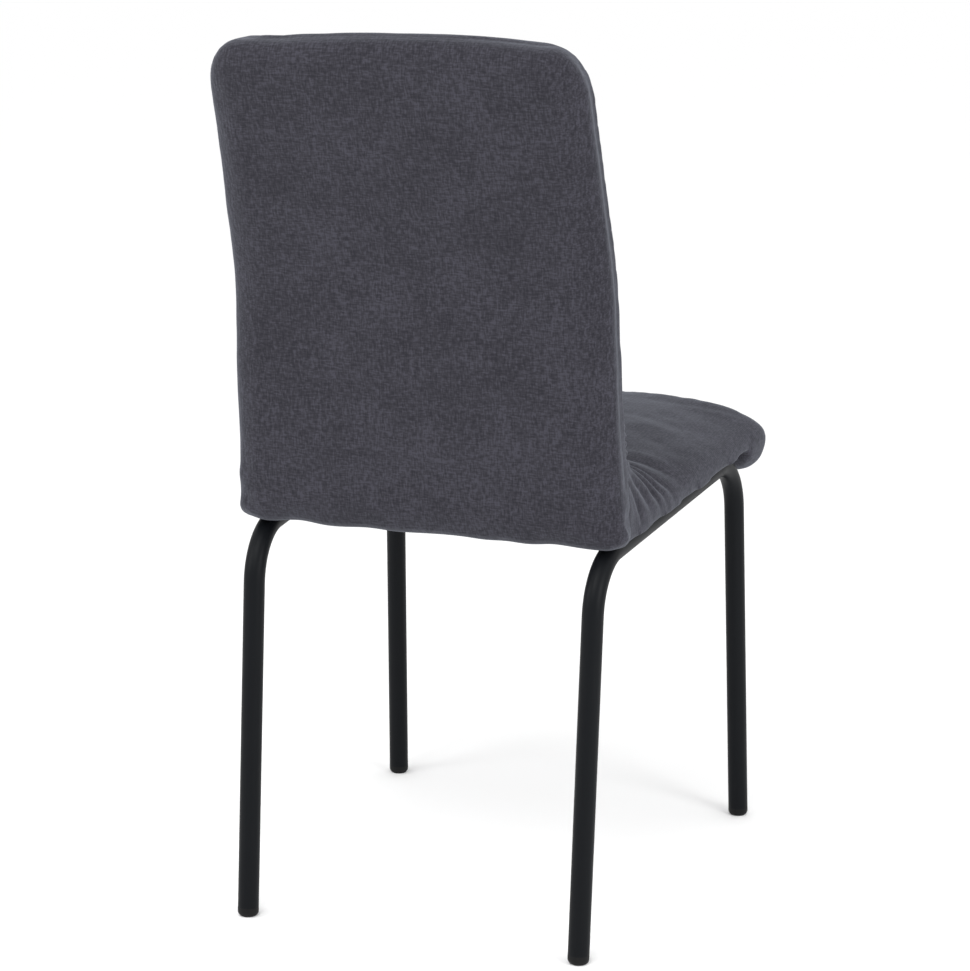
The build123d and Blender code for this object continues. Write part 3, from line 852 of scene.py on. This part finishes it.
def nonWoven():
    # spun-bonded polypropylene lining: black, matt, embossed with a fine grid of dots
    values = {"Roughness": otherFinishes["liningRoughness"]}
    material, tree, shader = newMaterial("spun-bonded lining", values)
    place = addNode(tree, "ShaderNodeTexCoord", {}).outputs["Object"]
    scale = 1000 / otherFinishes["liningFibre"]
    fibres = addNode(tree, "ShaderNodeTexNoise", {"Vector": place, "Scale": scale, "Detail": 4.0})
    ramp = addNode(tree, "ShaderNodeValToRGB", {"Fac": fibres.outputs["Fac"]})
    for element, colour in zip(ramp.color_ramp.elements, otherFinishes["liningColours"]):
        element.color = toLinear(colour)
    tree.links.new(ramp.outputs["Color"], shader.inputs["Base Color"])
    grid = {"Vector": place, "Scale": 1000 / otherFinishes["liningPitch"], "Randomness": 0.0}
    dots = addNode(tree, "ShaderNodeTexVoronoi", grid).outputs["Distance"]
    bump = addNode(tree, "ShaderNodeBump", {"Height": dots, "Strength": 0.4, "Distance": 0.3 * mm})
    tree.links.new(bump.outputs["Normal"], shader.inputs["Normal"])
    return material


def wood(name, colours, stretch):
    # sawn, unfinished wood: pale, matt, with long grain lines that run across the chair
    material, tree, shader = newMaterial(name, {"Roughness": otherFinishes["woodRoughness"]})
    place = addNode(tree, "ShaderNodeTexCoord", {}).outputs["Object"]
    mapped = addNode(tree, "ShaderNodeMapping", {"Vector": place, "Scale": stretch}).outputs["Vector"]
    scale = 1000 / otherFinishes["woodRing"]
    rings = addNode(tree, "ShaderNodeTexNoise", {"Vector": mapped, "Scale": scale, "Detail": 5.0})
    grain = rings.outputs["Fac"]
    ramp = addNode(tree, "ShaderNodeValToRGB", {"Fac": grain})
    for element, spot, colour in zip(ramp.color_ramp.elements, otherFinishes["woodContrast"], colours):
        element.position = spot
        element.color = toLinear(colour)
    tree.links.new(ramp.outputs["Color"], shader.inputs["Base Color"])
    bump = addNode(tree, "ShaderNodeBump", {"Height": grain, "Strength": 0.2, "Distance": 0.2 * mm})
    tree.links.new(bump.outputs["Normal"], shader.inputs["Normal"])
    return material


def dressFrame():  # finishes for the pieces that keep their own shape
    coat, nylon, zinc, lining = powderCoat(), mouldedNylon(), zincPlate(), nonWoven()
    plywood = wood("birch plywood", otherFinishes["plyColours"], otherFinishes["plyStretch"])
    pine = wood("planed pine", otherFinishes["pineColours"], otherFinishes["pineStretch"])
    finishes = {
        coat: ("left_leg_frame", "right_leg_frame", "front_cross_bar", "rear_cross_bar"),
        nylon: ("rear_left_glide", "rear_right_glide", "front_left_glide", "front_right_glide"),
        zinc: (
            "seat_bolts",
            "seat_washers",
            "seat_tee_nuts",
            "bracket_screws",
            "batten_screws",
            "left_bracket",
            "right_bracket",
        ),
        lining: ("dust_cover",),
        plywood: ("seat_board", "back_board"),
        pine: ("front_batten",),
    }
    for material, names in finishes.items():
        for name in names:
            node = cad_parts[name]
            node.data.materials.clear()
            node.data.materials.append(material)
    print("frame and fittings finished")


relaxRounds = 2

makeCamera()
makeStage()
dressFrame()
fabric = wovenMelange()

seat, rearCover, backPad = makeSeatPad(), makeRearCover(), makeBackPad()
for piece, settings in ((seat, seatPad), (rearCover, backPads), (backPad, backPads)):
    remesh(piece, settings["voxel"])
    places = vertexPlaces(piece.data)
    if piece is seat:
        across, rearward, up = seatCoordinates(places)
        held = np.maximum(1 - eased(*seatPad["heldUp"], up), eased(*seatPad["heldRearward"], rearward))
    elif piece is rearCover:
        hemHeld = 1 - eased(*backPads["coverHeldHeight"], places[:, 2])
        held = np.maximum(eased(*backPads["coverHeldDepth"], depthInBack(places)), hemHeld)
    else:
        held = 1 - eased(*backPads["padHeldDepth"], depthInBack(places))
    swellPad(piece, held, settings["swell"])
    relax(piece, relaxRounds)
    print("swelled", piece.name)
    subdivide(piece)
shapeSeatPad(seat)
shapeRearCover(rearCover)
shapeBackPad(backPad)
for piece in (seat, rearCover, backPad):
    for face in piece.data.polygons:
        face.use_smooth = True
    piece.data.materials.clear()
    piece.data.materials.append(fabric)
    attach(piece, "root")
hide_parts("seat_cover", "seat_foam")
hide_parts("back_rear_cover", "back_wadding")
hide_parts("back_front_cover", "back_foam")
print("upholstery ready")
